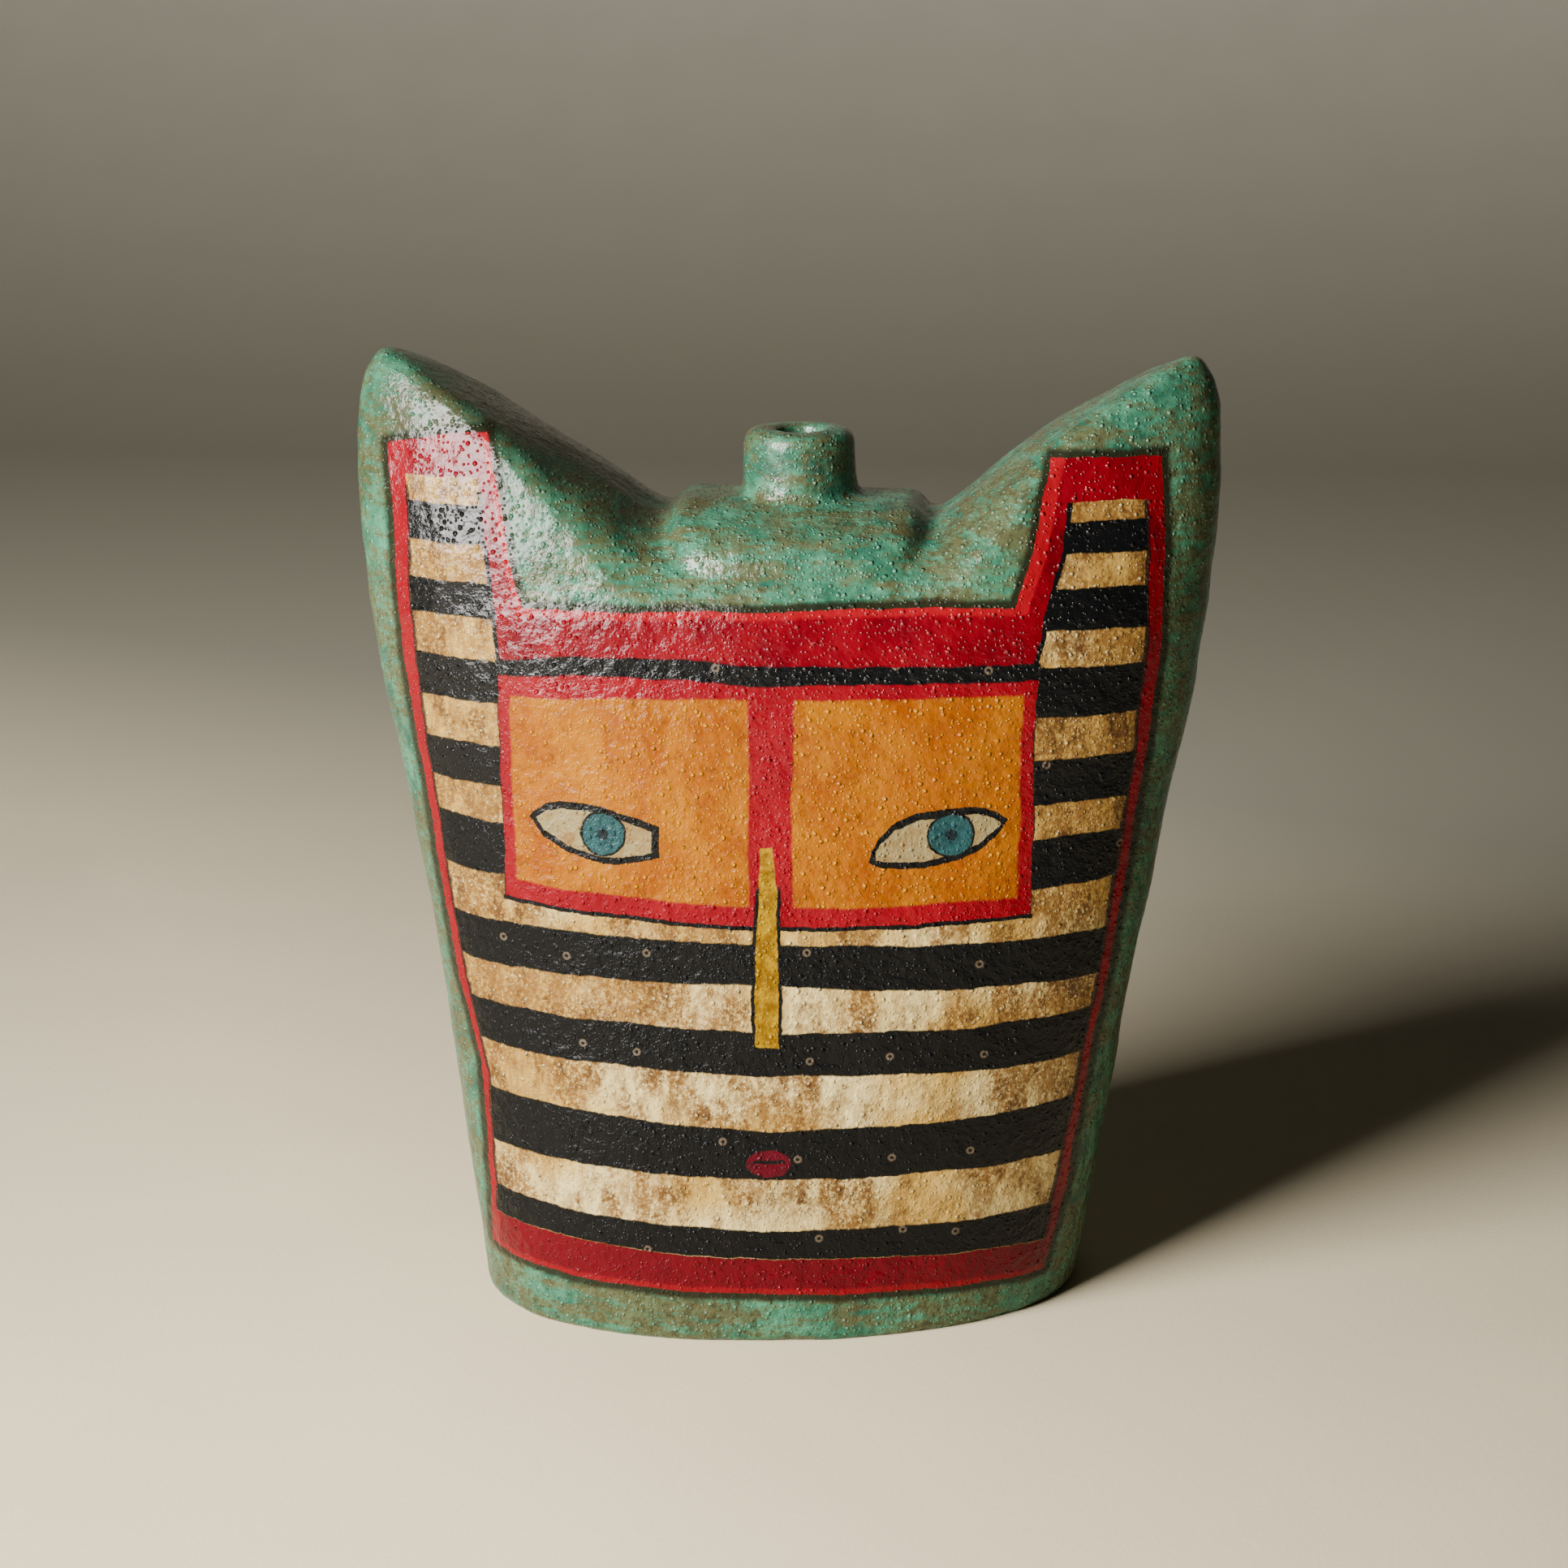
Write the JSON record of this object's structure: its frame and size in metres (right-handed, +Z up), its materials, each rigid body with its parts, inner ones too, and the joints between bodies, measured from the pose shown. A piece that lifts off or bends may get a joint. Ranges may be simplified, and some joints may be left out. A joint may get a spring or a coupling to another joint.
{
  "type": "cat head bottle vase",
  "caption": "Slab-built stoneware bottle vase in the form of a cat's head: hollow oval body, pointed ears, short ring neck, painted front.",
  "frame": {"origin": "middle of the body at the underside of the foot", "axes": "+Z up, -Y out of the painted face, +X to the right of someone looking at the face"},
  "size_m": [0.1746, 0.0802, 0.1987],
  "materials": {
    "painted_front": "gloss painted glaze over grog clay",
    "green_glaze": "pebbly mottled green glaze",
    "base_glaze": "green glaze, unglazed underneath",
    "bare_clay": "bare fired grog clay"
  },
  "bodies": {
    "root": {"front_wall": "painted_front", "back_wall": "green_glaze", "left_side_wall": "green_glaze", "right_side_wall": "green_glaze", "left_ear_roof": "green_glaze", "right_ear_roof": "green_glaze", "left_ear_tip": "green_glaze", "right_ear_tip": "green_glaze", "saddle_slab": "green_glaze", "neck_pad": "green_glaze", "neck_collar": "green_glaze", "base_slab": "base_glaze", "base_coil": "bare_clay", "front_left_seam_coil": "bare_clay", "front_right_seam_coil": "bare_clay", "back_left_seam_coil": "bare_clay", "back_right_seam_coil": "bare_clay"}
  },
  "joints": []
}
